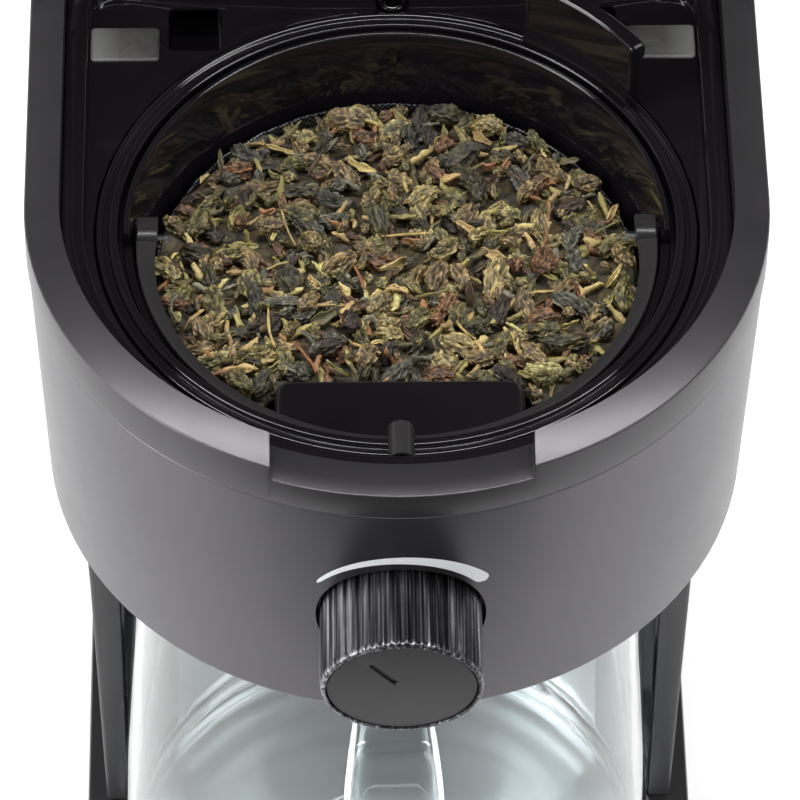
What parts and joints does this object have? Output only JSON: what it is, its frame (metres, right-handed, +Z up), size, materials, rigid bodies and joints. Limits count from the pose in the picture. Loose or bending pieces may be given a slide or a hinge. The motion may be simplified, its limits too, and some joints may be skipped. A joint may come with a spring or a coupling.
{
  "type": "iced tea maker",
  "caption": "Iced tea maker with an open D-shaped brew head, strength knob, lift-out brew basket and tea filter, glass jug and rear water tank",
  "frame": {"origin": "middle of the footprint, on the surface that the machine stands on", "axes": "+X to the right seen from the front, +Y to the back, +Z up"},
  "size_m": [0.19, 0.3092, 0.508],
  "materials": {
    "gunmetal_panel": "satin gunmetal with soft vertical highlights",
    "charcoal_trim": "satin charcoal moulding",
    "gloss_black": "polished black moulding",
    "satin_black": "satin black moulding",
    "dark_metal_face": "satin dark disc with a bright bevelled edge",
    "bright_steel": "polished steel",
    "alloy": "plain extruded alloy",
    "clear_glass": "clear moulded glass",
    "smoke_tank": "smoky clear plastic",
    "black_rubber": "dull black rubber",
    "pale_silicone": "pale translucent silicone",
    "rolled_tea": "rolled dry tea leaves, dark green to golden brown"
  },
  "bodies": {
    "housing": {"head_shell": "gunmetal_panel", "head_rim": "charcoal_trim", "head_liner": "gloss_black", "head_underside": "satin_black", "water_outlet": "bright_steel", "lid_hinge_pin_left": "bright_steel", "lid_hinge_pin_right": "bright_steel", "knob_bezel": "satin_black", "jug_rest": "black_rubber", "column_shell": "charcoal_trim", "rear_panel": "charcoal_trim", "tank_dock": "satin_black", "base_housing": "charcoal_trim", "base_cover": "satin_black", "foot_front_left": "black_rubber", "foot_front_right": "black_rubber", "foot_rear_left": "black_rubber", "foot_rear_right": "black_rubber", "power_switch": "satin_black", "cord_gland": "black_rubber", "boiler_tube": "alloy", "boiler_bracket": "bright_steel", "thermostat": "alloy", "thermal_fuse": "pale_silicone", "inlet_hose": "pale_silicone", "check_valve": "satin_black", "riser_hose": "pale_silicone"},
    "brew_lid": {"lid_shell": "charcoal_trim", "lid_spreader": "gloss_black"},
    "strength_knob": {"knob_body": "gloss_black", "knob_face": "dark_metal_face", "knob_shaft": "bright_steel", "knob_clip": "bright_steel"},
    "brew_basket": {"brew_basket": "gloss_black"},
    "bypass_shutter": {"bypass_shutter": "satin_black"},
    "tea_filter": {"tea_filter": "gloss_black", "filter_mesh": "bright_steel", "bail_pin_left": "bright_steel", "bail_pin_right": "bright_steel", "tea_leaves": "rolled_tea"},
    "filter_bail": {"filter_bail": "satin_black"},
    "jug": {"jug": "clear_glass", "jug_lid": "satin_black"},
    "water_tank": {"water_tank": "smoke_tank", "tank_lid_pin": "bright_steel", "tank_valve_seal": "pale_silicone", "tank_valve_cage": "satin_black"},
    "tank_lid": {"tank_lid": "charcoal_trim"},
    "tank_valve": {"tank_valve_stem": "satin_black", "tank_valve_spring": "bright_steel"},
    "start_button": {"start_button": "gloss_black"}
  },
  "joints": [
    {"name": "lid_hinge", "type": "hinge", "parent": "housing", "child": "brew_lid", "pos_m": [0, 0.0536, 0.3195], "axis": [-1, 0, 0], "range_deg": [-90, 0]},
    {"name": "knob_turn", "type": "hinge", "parent": "housing", "child": "strength_knob", "pos_m": [0, -0.13281, 0.2565], "axis": [0, 0.9932, 0.1167], "range_deg": [-18, 90]},
    {"name": "basket_lift", "type": "slide", "parent": "housing", "child": "brew_basket", "axis": [0, 0, 1], "range_m": [0, 0.12]},
    {"name": "shutter_turn", "type": "hinge", "parent": "brew_basket", "child": "bypass_shutter", "pos_m": [0, -0.13281, 0.2565], "axis": [0, 0.9932, 0.1167], "range_deg": [-18, 90]},
    {"name": "filter_lift", "type": "slide", "parent": "brew_basket", "child": "tea_filter", "axis": [0, 0, 1], "range_m": [0, 0.075]},
    {"name": "bail_fold", "type": "hinge", "parent": "tea_filter", "child": "filter_bail", "pos_m": [0, -0.0399, 0.2984], "axis": [-1, 0, 0], "range_deg": [0, 95]},
    {"name": "jug_slide", "type": "slide", "parent": "housing", "child": "jug", "axis": [0, -1, 0], "range_m": [0, 0.2]},
    {"name": "tank_lift", "type": "slide", "parent": "housing", "child": "water_tank", "axis": [0, 0, 1], "range_m": [0, 0.29]},
    {"name": "tank_lid_hinge", "type": "hinge", "parent": "water_tank", "child": "tank_lid", "pos_m": [0, 0.1506, 0.278], "axis": [-1, 0, 0], "range_deg": [0, 95]},
    {"name": "valve_lift", "type": "slide", "parent": "water_tank", "child": "tank_valve", "axis": [0, 0, 1], "range_m": [0, 0.004], "stiffness_N_per_m": 120, "springref_m": -0.002},
    {"name": "button_press", "type": "slide", "parent": "housing", "child": "start_button", "axis": [0, 1, 0], "range_m": [0, 0.0015], "stiffness_N_per_m": 400, "springref_m": -0.001}
  ],
  "couplings": [
    {"joint": "shutter_turn", "follows": "knob_turn", "ratio": 1}
  ]
}
